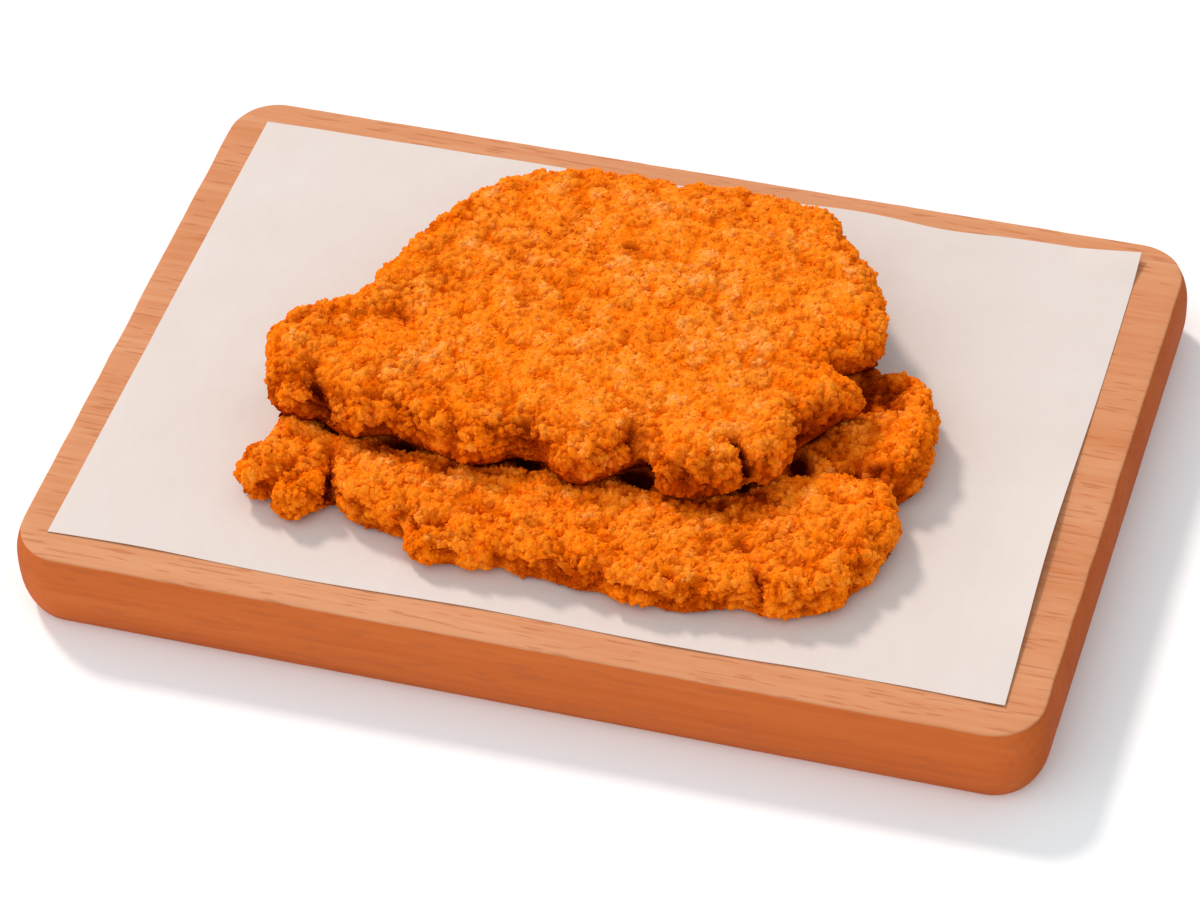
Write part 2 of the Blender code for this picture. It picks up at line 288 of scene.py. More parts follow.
def make_board():
    """The CAD board with finer corners and a slightly uneven, worn top edge."""
    length = BOARD_HIGH.x - BOARD_LOW.x - 2 * BOARD_BELLY
    depth = BOARD_HIGH.y - BOARD_LOW.y - 2 * BOARD_BELLY
    levels = []
    for step in range(13):
        share = (step / 12) ** 1.6
        inset = BOARD_FOOT_INSET * (1.0 - share) ** BOARD_FOOT_POWER
        levels.append((share * BOARD_BELLY_HEIGHT, BOARD_BELLY - inset, 0.0))
    rise = BOARD_TOP - BOARD_EDGE_ROUND - BOARD_BELLY_HEIGHT
    for step in range(1, 7):
        share = step / 6
        wear = 0.0 if step < 5 else 0.5 * (step - 4)
        levels.append((BOARD_BELLY_HEIGHT + share * rise, BOARD_BELLY * (1 - share ** 2), wear))
    for step in range(1, 4):
        angle = math.radians(30.0 * step)
        levels.append((
            BOARD_TOP - BOARD_EDGE_ROUND * (1 - math.sin(angle)),
            -BOARD_EDGE_ROUND * (1 - math.cos(angle)),
            1.0,
        ))
    levels.append((BOARD_TOP, -4.0 * MM, 0.0))
    base = with_long_sides(rounded_rectangle(length, depth, BOARD_CORNER_RADIUS, 16), 2.5 * MM)
    count = len(base)
    directions = []
    for index, point in enumerate(base):
        before, after = base[index - 1], base[(index + 1) % count]
        run = Vector((after[0] - before[0], after[1] - before[1])).normalized()
        directions.append((run.y, -run.x))
    points = []
    for height, outset, wear in levels:
        for (x, y), (out_x, out_y) in zip(base, directions):
            chatter = noise.noise(Vector((x, y, 0.3)) * 90.0) + 0.5 * noise.noise(Vector((x, y, 0.9)) * 300.0)
            reach = outset + wear * 0.22 * MM * min(chatter, 0.3)
            points.append((x + out_x * reach, y + out_y * reach, height))
    faces = []
    for level in range(len(levels) - 1):
        for index in range(count):
            after = (index + 1) % count
            low, high = level * count, (level + 1) * count
            faces.append((low + index, low + after, high + after, high + index))
    faces.append(tuple(range(count - 1, -1, -1)))
    last = (len(levels) - 1) * count
    faces.append(tuple(range(last, last + count)))
    board = mesh_object("beech_board", points, faces, beech_material())
    board.data.set_sharp_from_angle(angle=math.radians(50.0))
    return board


# ---------------------------------------------------------------- paper

PAPER_THICKNESS = 0.16 * MM
PAPER_GRID = (170, 116)


def make_paper():
    """A thin cut sheet on the CAD sheet's own surface, with finer waves towards its edges."""
    corners = [Vector(c) for c in (
        (-141.0, -93.0), (139.4, -91.6), (136.2, 97.0), (-139.5, 93.9),
    )]
    columns, rows = PAPER_GRID
    points = []
    for side in (0, 1):
        for row in range(rows + 1):
            for column in range(columns + 1):
                u, v = column / columns, row / rows
                weights = ((1 - u) * (1 - v), u * (1 - v), u * v, (1 - u) * v)
                flat = sum((c * w for c, w in zip(corners, weights)), Vector((0.0, 0.0)))
                x = flat.x - 1.2 * u * math.exp(-(((v - 0.35) / 0.28) ** 2))
                y = flat.y + 0.5 * (1 - v) * math.sin(2.6 * math.tau * u)
                y += v * (
                    math.exp(-(((u - 0.68) / 0.06) ** 2)) - 2.2 * math.exp(-(((u - 0.79) / 0.06) ** 2))
                )
                right = 2.0 * max(0.0, (u - 0.93) / 0.07) ** 1.6 * math.exp(-(((v - 0.3) / 0.22) ** 2))
                front = 0.12 * max(0.0, (0.055 - v) / 0.055) * (1.0 + math.sin(3.2 * math.tau * u))
                back = max(0.0, (v - 0.93) / 0.07)
                lift = right + front + 2.2 * max(0.0, (u - 0.93) / 0.07) * back
                lift += back * math.exp(-(((u - 0.79) / 0.07) ** 2))
                edge = min(u, 1 - u, v, 1 - v)
                lift -= 0.22 * math.exp(-edge / 0.02) * (1 - 0.6 * noise.noise(Vector((x, y, 0.0)) * 0.06))
                z = BOARD_TOP / MM + 0.32 + lift + (PAPER_THICKNESS / MM if side else 0.0)
                points.append((x * MM, y * MM, z * MM))
    faces = []
    sheet = (columns + 1) * (rows + 1)
    for row in range(rows):
        for column in range(columns):
            corner = row * (columns + 1) + column
            quad = (corner, corner + 1, corner + columns + 2, corner + columns + 1)
            faces.append(tuple(reversed(quad)))
            faces.append(tuple(index + sheet for index in quad))
    border = list(range(columns))
    border += [row * (columns + 1) + columns for row in range(rows)]
    border += [rows * (columns + 1) + column for column in range(columns, 0, -1)]
    border += [row * (columns + 1) for row in range(rows, 0, -1)]
    for here, after in zip(border, border[1:] + border[:1]):
        faces.append((here, after, after + sheet, here + sheet))
    paper = mesh_object("greaseproof_sheet", points, faces, paper_material())
    paper.data.set_sharp_from_angle(angle=math.radians(50.0))
    return paper


# ---------------------------------------------------------------- random fields


def hashed(cells, seed):
    """An even random number from 0 to 1 for each integer cell of an (n, 3) array."""
    mixed = cells[:, 0] * 73856093 ^ cells[:, 1] * 19349663 ^ cells[:, 2] * 83492791 ^ (seed * 1640531)
    mixed = ((mixed & 0xFFFFFFFF) ^ ((mixed & 0xFFFFFFFF) >> 15)) * 224682251 & 0xFFFFFFFF
    mixed = (mixed ^ (mixed >> 13)) * 326648991 & 0xFFFFFFFF
    return ((mixed ^ (mixed >> 16)) & 0xFFFFFF) / 0x1000000


def smooth_noise(points, size, seed):
    """Gradient noise between about -1 and 1 at (n, 3) points."""
    place = points / size + 1000.0
    base = np.floor(place).astype(np.int64)
    share = place - base
    fade = share * share * share * (share * (share * 6.0 - 15.0) + 10.0)
    total = np.zeros(len(points))
    for corner in np.ndindex(2, 2, 2):
        corner = np.array(corner)
        cell = base + corner
        weight = np.prod(np.where(corner == 1, fade, 1.0 - fade), axis=1)
        reach = share - corner
        slope = sum(reach[:, axis] * (hashed(cell, seed + 17 * axis) * 2.0 - 1.0) for axis in range(3))
        total += weight * slope
    return total * 1.7


def layered_noise(points, size, seed, layers):
    return sum(smooth_noise(points, size / 2 ** n, seed + 101 * n) / 2 ** n for n in range(layers))


def packed_balls(points, size, seed, least, most):
    """Height of a bed of balls of random size over each point, and a random number for the ball under it.

    Balls sit one to a cell of the given size. Heights run from 0 between balls to about most, in cells.
    """
    place = points / size + 1000.0
    base = np.floor(place).astype(np.int64)
    height = np.zeros(len(points))
    owner = np.zeros(len(points))
    for shift in np.ndindex(3, 3, 3):
        cell = base + np.array(shift) - 1
        middle = np.stack([cell[:, axis] + hashed(cell, seed + 31 * axis) for axis in range(3)], 1)
        radius = least + (most - least) * hashed(cell, seed + 97)
        here = radius ** 2 - np.sum((place - middle) ** 2, axis=1)
        better = here > height
        height[better] = here[better]
        owner[better] = hashed(cell[better], seed + 211)
    return np.sqrt(height), owner


def warped(points, size, reach, seed):
    """The points pushed about by noise, so that cells drawn from them lose their even look."""
    return points + reach * np.stack([smooth_noise(points, size, seed + 7 * axis) for axis in range(3)], 1)


# ---------------------------------------------------------------- crust shape

# Rim outlines in millimetres, counter-clockwise: the CAD outline with its small knobs and notches.
LOWER_OUTLINE = (
    (98.0, -6.0), (97.5, 1.0), (95.5, 9.0), (92.0, 15.5), (87.0, 19.5), (80.0, 20.5), (74.0, 23.0),
    (60.0, 30.0), (38.0, 40.0), (12.0, 45.0), (-18.0, 43.0), (-45.0, 33.0), (-68.0, 14.0),
    (-82.0, -10.0), (-86.5, -22.0), (-88.5, -33.0), (-89.0, -41.0), (-88.0, -47.5), (-90.5, -51.0),
    (-94.0, -54.5), (-95.2, -60.0), (-92.5, -65.5), (-87.5, -69.5), (-84.6, -68.3), (-81.8, -68.0),
    (-80.0, -71.5), (-75.5, -74.5), (-71.5, -73.3), (-69.5, -70.0), (-65.8, -67.0), (-64.0, -65.2),
    (-61.8, -66.5), (-58.6, -69.8), (-52.6, -71.6), (-48.0, -72.0), (-43.4, -73.4), (-41.3, -73.0),
    (-39.3, -77.0), (-35.4, -80.8), (-30.0, -81.0), (-24.0, -80.0), (-19.8, -80.0), (-10.0, -77.8),
    (-5.5, -79.2), (5.0, -79.3), (13.0, -81.0), (20.0, -80.3),
    (28.0, -82.0), (36.0, -81.8), (42.0, -82.4), (48.0, -81.0), (54.0, -78.5), (59.0, -76.8),
    (62.5, -77.0), (66.5, -77.8), (72.0, -76.8), (77.5, -75.2), (82.5, -73.0), (86.4, -69.2),
    (89.2, -63.8), (91.8, -57.8), (93.8, -52.5), (96.0, -45.5), (95.8, -38.0), (93.4, -31.5),
    (93.4, -26.5), (96.0, -22.8), (98.2, -19.5), (99.0, -14.0),
)
UPPER_OUTLINE = (
    (76.5, 20.0), (76.0, 27.0), (73.5, 32.0), (72.5, 38.0), (68.5, 44.0), (64.5, 50.5), (61.0, 55.5),
    (55.5, 62.5), (51.5, 68.0), (45.0, 72.8), (38.0, 73.6), (31.0, 76.0), (25.0, 75.4), (18.0, 76.3),
    (11.0, 74.8), (4.0, 76.2), (-3.0, 75.2), (-10.0, 76.6), (-17.0, 74.5), (-24.0, 74.5),
    (-31.0, 73.2), (-36.0, 71.0), (-43.0, 67.5), (-50.0, 62.8), (-55.5, 56.0), (-62.0, 47.0),
    (-65.5, 38.0), (-69.8, 28.0), (-71.5, 20.0), (-75.0, 11.5), (-76.5, 5.0), (-80.5, -1.5),
    (-84.0, -2.5), (-88.5, -5.0), (-92.0, -8.5), (-95.0, -13.5), (-96.5, -19.0), (-97.0, -25.0),
    (-95.5, -31.0), (-93.5, -37.0), (-91.0, -41.5), (-87.0, -44.5), (-82.5, -46.0), (-78.0, -46.3),
    (-74.5, -45.0), (-71.0, -47.6), (-66.0, -49.5), (-61.5, -49.8), (-57.0, -47.5), (-52.5, -46.5),
    (-47.0, -47.8), (-41.0, -49.2), (-35.0, -50.8), (-29.0, -51.8), (-23.0, -51.5), (-18.5, -49.0),
    (-15.0, -46.5), (-10.0, -46.0), (-6.0, -46.8), (-3.0, -49.5), (1.0, -51.8), (6.0, -52.3),
    (10.0, -50.8), (13.5, -47.8), (17.0, -44.5), (19.3, -41.3), (21.2, -38.8), (23.3, -40.4),
    (25.8, -43.4), (27.8, -46.8), (30.5, -49.2), (35.0, -50.0), (40.0, -49.6), (45.5, -47.2),
    (49.5, -43.5), (51.5, -40.0), (53.0, -38.8), (56.5, -39.8), (59.8, -37.5), (61.4, -34.0),
    (62.2, -30.0), (62.4, -25.5), (64.3, -21.0), (67.3, -16.8), (70.0, -12.8), (72.3, -9.6),
    (75.6, -7.2), (77.4, -3.6), (75.8, -0.8), (71.0, 0.6), (66.8, 2.6), (65.4, 5.6), (68.0, 9.4),
    (72.5, 12.0), (75.5, 15.5),
)

# Relief of the top faces. A swell is (x, y, reach along X, reach along Y, height), negative for a
# hollow. A crease is (x, y, x, y, width, depth) from one end to the other.
LOWER_SWELLS = (
    (98.0, 0.0, 11.0, 22.0, 4.5), (76.0, 6.0, 9.0, 9.0, -2.4), (86.0, -46.0, 26.0, 12.0, 1.5),
    (-84.0, -60.0, 8.0, 8.0, 1.8), (-75.0, -71.0, 5.0, 4.0, 0.8), (-50.0, -62.0, 10.0, 9.0, 1.9),
    (-8.0, -66.0, 34.0, 6.0, 1.6), (58.0, -62.0, 11.0, 7.0, -1.4), (44.0, -48.0, 18.0, 6.0, -1.4),
    (70.0, -18.0, 9.0, 7.0, -1.2),
)
LOWER_CREASES = (
    (-67.5, -54.5, -65.4, -62.0, 1.6, 3.6), (-65.4, -62.0, -64.2, -68.0, 1.7, 4.5),
    (-83.0, -70.0, -77.0, -62.0, 2.0, 2.0),
    (-41.0, -76.5, -30.0, -73.3, 1.8, 2.2), (-27.5, -72.0, -20.0, -66.5, 1.8, 1.7),
    (-20.0, -66.5, -4.0, -62.0, 2.8, 1.2),
    (63.0, -29.0, 78.0, -23.5, 3.0, 2.2), (78.0, -23.5, 94.0, -28.0, 2.4, 2.6),
    (63.0, -70.0, 66.5, -79.0, 1.6, 3.6), (57.0, -60.0, 62.0, -67.0, 2.0, 1.4),
    (-18.0, -80.0, -15.0, -72.0, 2.0, 1.6), (8.0, -81.0, 10.0, -74.0, 2.0, 1.4),
    (82.0, -50.0, 92.0, -60.0, 2.2, 1.2), (40.0, -83.0, 38.0, -75.0, 1.8, 1.4),
)
UPPER_SWELLS = (
    (10.0, 14.0, 62.0, 42.0, 1.6), (-62.0, -6.0, 9.0, 8.0, -2.0), (-64.0, 16.0, 11.0, 12.0, 1.2),
    (-86.0, -20.0, 9.0, 10.0, 1.6), (4.0, -42.0, 10.0, 8.0, 1.8), (37.0, -38.0, 11.0, 9.0, 1.8),
    (55.5, -29.0, 6.5, 8.0, 2.2), (-30.0, -44.0, 14.0, 8.0, 1.0), (40.0, 10.0, 14.0, 10.0, -0.9),
    (72.0, -5.0, 5.0, 4.0, 1.8), (-88.0, -42.0, 8.0, 5.0, -2.0), (68.0, 7.0, 4.0, 3.0, -0.8),
)
UPPER_CREASES = (
    (-80.5, -31.0, -76.5, -40.0, 2.1, 3.2), (-76.5, -40.0, -71.0, -48.0, 2.2, 4.4),
    (-58.0, -42.0, -55.5, -49.0, 2.2, 2.6), (-65.0, -45.0, -64.0, -50.0, 1.5, 1.6),
    (-11.0, -49.0, -12.0, -42.0, 2.4, 2.6), (21.0, -42.0, 17.0, -36.5, 1.8, 3.4),
    (53.0, -40.0, 46.5, -33.5, 1.25, 5.5), (67.0, -27.0, 60.0, -17.0, 2.0, 2.0),
    (70.0, 4.0, 66.0, 5.8, 1.9, 2.6), (-30.0, -55.0, -32.0, -46.0, 2.0, 1.4),
    (66.0, -20.0, 72.0, -11.0, 2.2, 1.6), (37.0, -51.0, 35.5, -44.0, 1.7, 1.4),
    (6.0, -54.0, 5.0, -47.0, 1.6, 1.0), (-34.0, 22.0, -31.5, 22.5, 1.5, 1.8),
    (-5.0, 36.5, -3.0, 37.0, 1.5, 2.2), (-61.0, -4.0, -59.5, -8.5, 1.8, 2.2),
    (-48.0, 11.5, -45.5, 12.5, 1.5, 1.5), (6.0, -4.0, 7.5, 0.5, 1.3, 1.4),
    (-28.0, 3.5, -26.0, 4.5, 1.3, 1.4),
)
# Deep gaps under the upper rim, hollowed into the lower crust's top and painted almost black
# there as shade: (x, y, reach along X, reach along Y, strength).
GAPS = (
    (-12.0, -43.5, 6.5, 3.2, 1.0), (20.0, -41.2, 7.5, 4.2, 1.1), (62.8, -24.5, 3.5, 4.5, 1.0),
    (-49.0, -45.0, 8.0, 2.5, 0.9), (-71.0, -43.0, 4.0, 3.0, 0.6), (50.0, -37.5, 3.0, 3.0, 0.8),
)

UPPER_LOW, UPPER_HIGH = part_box("schnitzel_upper")
LOWER_LOW, LOWER_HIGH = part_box("schnitzel_lower")
LOWER_FACE, LOWER_REST = 39.8, 27.0
UPPER_FACE, UPPER_REST = 52.5, 40.5
SHAPE_STEP = 0.9
ROLL_POWER = 2.4  # 2 rolls the rims as a quarter circle, more makes them squarer
CRUST_VOXEL = 0.52
MOST_CRUST_TRIANGLES = 196000


def closed_curve(landmarks, steps):
    """Points on the smooth closed curve through the landmarks, steps from each to the next."""
    marks = np.array(landmarks)
    before, after, beyond = (np.roll(marks, shift, axis=0) for shift in (1, -1, -2))
    t = (np.arange(steps) / steps)[None, :, None]
    a, b, c, d = (value[:, None] for value in (before, marks, after, beyond))
    curve = 0.5 * (
        2 * b + (c - a) * t + (2 * a - 5 * b + 4 * c - d) * t ** 2 + (3 * b - a - 3 * c + d) * t ** 3
    )
    return curve.reshape(-1, 2)


def outline_depth(points, ring):
    """How far each (x, y) point lies inside the ring, negative outside, and the ring's nearest point."""
    inside = np.zeros(len(points), bool)
    best = np.full(len(points), np.inf)
    nearest = np.zeros((len(points), 2))
    for start, end in zip(ring, np.roll(ring, -1, axis=0)):
        run = end - start
        share = np.clip((points - start) @ run / max(run @ run, 1e-12), 0.0, 1.0)
        touch = start + share[:, None] * run
        gap = np.sum((points - touch) ** 2, axis=1)
        better = gap < best
        best[better] = gap[better]
        nearest[better] = touch[better]
        if start[1] != end[1]:
            spans = (points[:, 1] > start[1]) != (points[:, 1] > end[1])
            crossing = start[0] + (points[:, 1] - start[1]) / (end[1] - start[1]) * run[0]
            inside ^= spans & (points[:, 0] < crossing)
    return np.where(inside, 1.0, -1.0) * np.sqrt(best), nearest


class RimDepth:
    """How far (x, y) places lie inside a rim, negative outside, read from a grid worked out once."""

    def __init__(self, outline):
        ring = closed_curve(outline, 5)
        self.low = ring.min(axis=0) - 12.0
        self.shape = tuple(int(count) for count in np.ceil(ring.max(axis=0) + 12.0 - self.low))
        i, j = np.meshgrid(np.arange(self.shape[0]), np.arange(self.shape[1]), indexing="ij")
        flat = self.low + np.stack([i.ravel(), j.ravel()], 1)
        self.grid = outline_depth(flat, ring)[0].reshape(self.shape)

    def __call__(self, x, y):
        u = np.clip(x - self.low[0], 0.0, self.shape[0] - 1.001)
        v = np.clip(y - self.low[1], 0.0, self.shape[1] - 1.001)
        i, j = u.astype(int), v.astype(int)
        du, dv = u - i, v - j
        near = self.grid[i, j] * (1 - dv) + self.grid[i, j + 1] * dv
        far = self.grid[i + 1, j] * (1 - dv) + self.grid[i + 1, j + 1] * dv
        return near * (1 - du) + far * du


LOWER_DEPTH = RimDepth(LOWER_OUTLINE)
UPPER_DEPTH = RimDepth(UPPER_OUTLINE)


def swell_height(x, y, swells):
    return sum(
        height * np.exp(-(((x - cx) / reach_x) ** 2) - ((y - cy) / reach_y) ** 2)
        for cx, cy, reach_x, reach_y, height in swells
    )


def crease_depth(x, y, creases):
    total = np.zeros(np.shape(x))
    for x0, y0, x1, y1, width, depth in creases:
        run_x, run_y = x1 - x0, y1 - y0
        share = np.clip(((x - x0) * run_x + (y - y0) * run_y) / (run_x ** 2 + run_y ** 2), 0.0, 1.0)
        gap = (x - x0 - run_x * share) ** 2 + (y - y0 - run_y * share) ** 2
        total += depth * np.exp(-gap / width ** 2)
    return total


def lower_top(x, y):
    hollow = 4.4 * patch_strength(np.stack([x, y], 1), GAPS)
    return LOWER_FACE + swell_height(x, y, LOWER_SWELLS) - hollow


def lower_underside(x, y):
    right = np.maximum(0.0, (x - 80.0) / 18.0) ** 2 * np.exp(-((y / 22.0) ** 2))
    left = np.maximum(0.0, (-76.0 - x) / 16.0) ** 2
    return LOWER_REST + 3.5 * right + 1.5 * left


def upper_droop(y):
    share = np.clip((y - 47.0) / 31.0, 0.0, 1.0)
    return 2.5 * share * share * (3 - 2 * share)


def upper_top(x, y):
    return UPPER_FACE + swell_height(x, y, UPPER_SWELLS) - upper_droop(y)


def upper_underside(x, y):
    front = np.clip((-22.0 - y) / 26.0, 0.0, 1.0)
    return UPPER_REST - upper_droop(y) - 0.7 * front


def belly_height(style, x, y):
    """The height at which the rim reaches furthest out."""
    return style["underside"](x, y) + style["belly"] * (style["top"](x, y) - style["underside"](x, y))


def pillow(style):
    """A closed slab with rolled rims over the outline, as points in millimetres and faces."""
    ring = closed_curve(style["outline"], 8)
    low, high = ring.min(axis=0) - 2 * SHAPE_STEP, ring.max(axis=0) + 2 * SHAPE_STEP
    columns, rows = (int(count) for count in np.ceil((high - low) / SHAPE_STEP))
    row, column = np.divmod(np.arange((columns + 1) * (rows + 1)), columns + 1)
    flat = low + SHAPE_STEP * np.stack([column, row], 1)
    depth, nearest = outline_depth(flat, ring)
    inside = depth > 0.0
    corner = (np.arange(rows)[:, None] * (columns + 1) + np.arange(columns)).ravel()
    cells = np.stack([corner, corner + 1, corner + columns + 2, corner + columns + 1], 1)
    cells = cells[inside[cells].any(axis=1)]
    used = np.unique(cells)
    flat = np.where(inside[:, None], flat, nearest)
    x, y = flat[used].T
    top, underside, middle = style["top"](x, y), style["underside"](x, y), belly_height(style, x, y)
    reach = np.maximum(depth[used], 0.0)
    heights = []
    for face, shoulder in ((top, style["shoulder"]), (underside, style["foot"])):
        share = np.clip(reach / shoulder, 0.0, 1.0)
        heights.append(middle + (face - middle) * (1.0 - (1.0 - share) ** ROLL_POWER) ** (1 / ROLL_POWER))
    number_above = np.full(len(flat), -1)
    number_above[used] = np.arange(len(used))
    buried = used[inside[used]]
    number_below = number_above.copy()
    number_below[buried] = len(used) + np.arange(len(buried))
    points = np.vstack([
        np.stack([x, y, heights[0]], 1),
        np.stack([x, y, heights[1]], 1)[inside[used]],
    ])
    faces = [tuple(quad) for quad in number_above[cells]]
    faces += [tuple(quad[::-1]) for quad in number_below[cells]]
    return points, faces, ring


def evaluated_mesh(item):
    bpy.context.view_layer.update()
    return bpy.data.meshes.new_from_object(item.evaluated_get(bpy.context.evaluated_depsgraph_get()))


def even_skin(points, faces, voxel):
    """A fine, even mesh over a closed shape, in millimetres."""
    mesh = bpy.data.meshes.new("skin")
    mesh.from_pydata(points.tolist(), [], faces)
    item = bpy.data.objects.new("skin", mesh)
    bpy.context.scene.collection.objects.link(item)
    remesh = item.modifiers.new("remesh", "REMESH")
    remesh.mode = "VOXEL"
    remesh.voxel_size = voxel
    relax = item.modifiers.new("relax", "SMOOTH")
    relax.factor = 0.5
    relax.iterations = 5
    skin = evaluated_mesh(item)
    bpy.data.objects.remove(item, do_unlink=True)
    return skin


def thinned(item, hidden):
    """Brings a mesh down to MOST_CRUST_TRIANGLES, where its points are hidden."""
    group = item.vertex_groups.new(name="hidden")
    group.add(np.flatnonzero(hidden).tolist(), 1.0, "REPLACE")
    thin = item.modifiers.new("thin", "DECIMATE")
    thin.ratio = MOST_CRUST_TRIANGLES / (2 * len(item.data.polygons))
    thin.vertex_group = group.name
    thin.vertex_group_factor = 1.0
    thin.use_collapse_triangulate = True
    mesh = evaluated_mesh(item)
    item.modifiers.clear()
    item.vertex_groups.clear()
    item.data = mesh
    return mesh


def store_bake_map(mesh, belly):
    """A map for baked textures: what is above the belly fills the upper half, the rest the lower."""
    points = vertex_array(mesh) / MM
    count = len(mesh.polygons)
    corners = np.empty(len(mesh.loops), np.int32)
    mesh.loops.foreach_get("vertex_index", corners)
    centres = np.empty(3 * count)
    mesh.polygons.foreach_get("center", centres)
    centres = centres.reshape(-1, 3) / MM
    above = centres[:, 2] > belly(centres[:, 0], centres[:, 1])
    sizes = np.empty(count, np.int32)
    mesh.polygons.foreach_get("loop_total", sizes)
    flat = points[:, :2]
    share = (flat - flat.min(axis=0)) / (flat.max(axis=0) - flat.min(axis=0))
    places = share[corners] * (0.98, 0.48) + (0.01, 0.01)
    places[:, 1] += 0.5 * np.repeat(above, sizes)
    layer = mesh.uv_layers.new(name="OFBake")
    layer.data.foreach_set("uv", places.ravel())


def icosahedron():
    work = bmesh.new()
    bmesh.ops.create_icosphere(work, subdivisions=1, radius=1.0)
    points = np.array([v.co[:] for v in work.verts])
    faces = np.array([[v.index for v in f.verts] for f in work.faces])
    work.free()
    return points, faces


def random_turns(count, rng):
    """count rotation matrices, evenly spread."""
    q = rng.normal(size=(count, 4))
    q /= np.linalg.norm(q, axis=1)[:, None]
    w, x, y, z = q.T
    return np.stack([
        np.stack([1 - 2 * (y * y + z * z), 2 * (x * y - z * w), 2 * (x * z + y * w)], 1),
        np.stack([2 * (x * y + z * w), 1 - 2 * (x * x + z * z), 2 * (y * z - x * w)], 1),
        np.stack([2 * (x * z - y * w), 2 * (y * z + x * w), 1 - 2 * (x * x + y * y)], 1),
    ], 1)


def spread_out(points, allowed, spacing, rng):
    """Indices of allowed points, in random order, with no two in the same or a touching place."""
    cells = np.floor(points / spacing).astype(np.int64)
    chosen = []
    taken = {}
    order = rng.permutation(np.flatnonzero(allowed))
    keys = [tuple(key) for key in cells[order]]
    for index, (i, j, k) in zip(order, keys):
        if (i, j, k) in taken:
            continue
        near = (
            taken.get((i + a, j + b, k + c)) for a in (-1, 0, 1) for b in (-1, 0, 1) for c in (-1, 0, 1)
        )
        here = points[index]
        if all(other is None or math.dist(here, points[other]) >= spacing for other in near):
            taken[(i, j, k)] = index
            chosen.append(index)
    return np.array(chosen)


def patch_strength(points, patches):
    total = np.zeros(len(points))
    for x, y, reach_x, reach_y, strength in patches:
        total += strength * np.exp(-(((points[:, 0] - x) / reach_x) ** 2) - ((points[:, 1] - y) / reach_y) ** 2)
    return total


